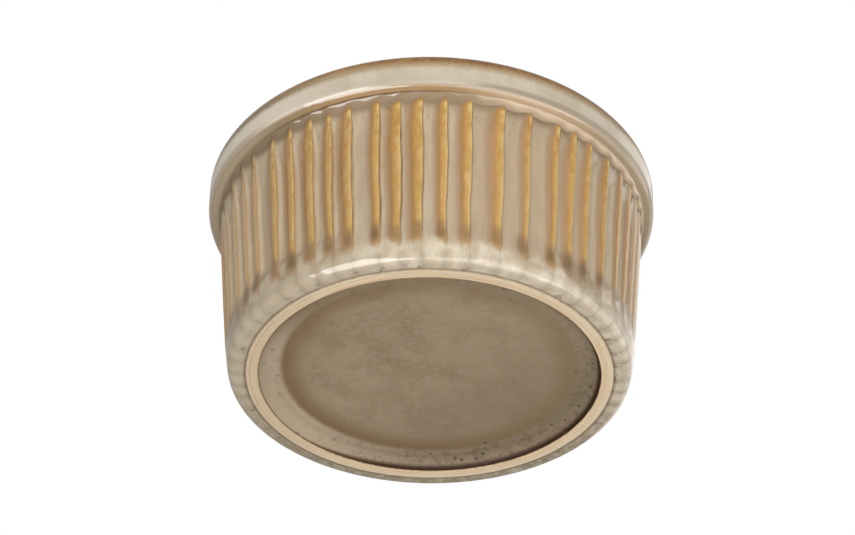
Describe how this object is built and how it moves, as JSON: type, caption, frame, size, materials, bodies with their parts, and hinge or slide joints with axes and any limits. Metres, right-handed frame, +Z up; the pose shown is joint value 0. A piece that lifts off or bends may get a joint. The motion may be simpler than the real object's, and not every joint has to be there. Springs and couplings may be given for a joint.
{
  "type": "creme brulee dish",
  "caption": "Small round glazed stoneware dish with a plain collar, an irregular ribbed wall and a bare foot ring, for baking and serving creme brulee or other single desserts.",
  "frame": {"origin": "centre of the foot ring, on the surface that the dish stands on", "axes": "+Z up out of the bowl, -Y towards the side that the picture shows, +X to the right seen from there"},
  "size_m": [0.09, 0.09, 0.0465],
  "materials": {
    "stoneware": "bare fired stoneware, matt peach, with faint streaks and specks",
    "outer_glaze": "glossy grey-beige glaze that breaks to amber where it runs thin on the rib crests and the rim",
    "inner_glaze": "glossy pale grey-beige glaze, amber at the rim",
    "base_glaze": "thin satin taupe glaze with small pinholes"
  },
  "bodies": {
    "root": {"stoneware_body": "stoneware", "outer_glaze": "outer_glaze", "inner_glaze": "inner_glaze", "base_glaze": "base_glaze"}
  },
  "joints": []
}
